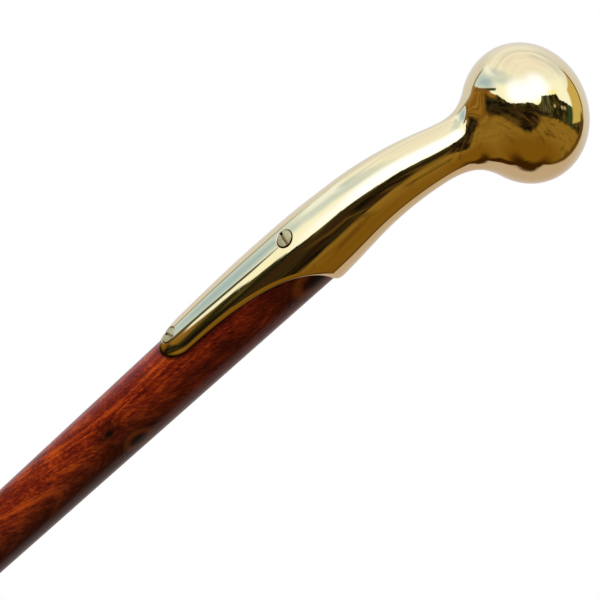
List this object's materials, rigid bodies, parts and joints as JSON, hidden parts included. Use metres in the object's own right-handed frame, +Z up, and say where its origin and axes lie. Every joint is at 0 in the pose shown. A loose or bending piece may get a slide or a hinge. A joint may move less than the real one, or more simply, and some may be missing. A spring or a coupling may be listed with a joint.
{
  "type": "walking stick",
  "caption": "Walking stick with a polished brass knob on a bent neck, whose socket and long tongue are screwed to a tapered wooden shaft, with a ferrule and a rubber tip.",
  "frame": {"origin": "middle of the rubber tip's flat underside, on the shaft's axis", "axes": "+Z up the shaft towards the knob, +X the way the knob leans, so that the tongue lies on the -X side, and Y across the plane in which the neck bends"},
  "size_m": [0.0571, 0.0442, 0.9258],
  "materials": {
    "handle_brass": "cast, polished to a mirror",
    "screw_brass": "pale brass, filed flat and lightly polished",
    "ferrule_brass": "turned, polished",
    "shaft_wood": "red-brown figured hardwood under gloss lacquer",
    "washer_steel": "plain steel",
    "tip_rubber": "moulded, matt"
  },
  "bodies": {
    "stick": {"knob_handle": "handle_brass", "shaft": "shaft_wood", "tongue_screw_upper": "screw_brass", "tongue_screw_lower": "screw_brass", "foot_ferrule": "ferrule_brass", "ferrule_pin_front": "screw_brass", "ferrule_pin_back": "screw_brass"},
    "tip": {"tip_washer": "washer_steel", "rubber_tip": "tip_rubber"}
  },
  "joints": [
    {"name": "tip_pull", "type": "slide", "parent": "stick", "child": "tip", "axis": [0, 0, -1], "range_m": [0, 0.0285]}
  ]
}
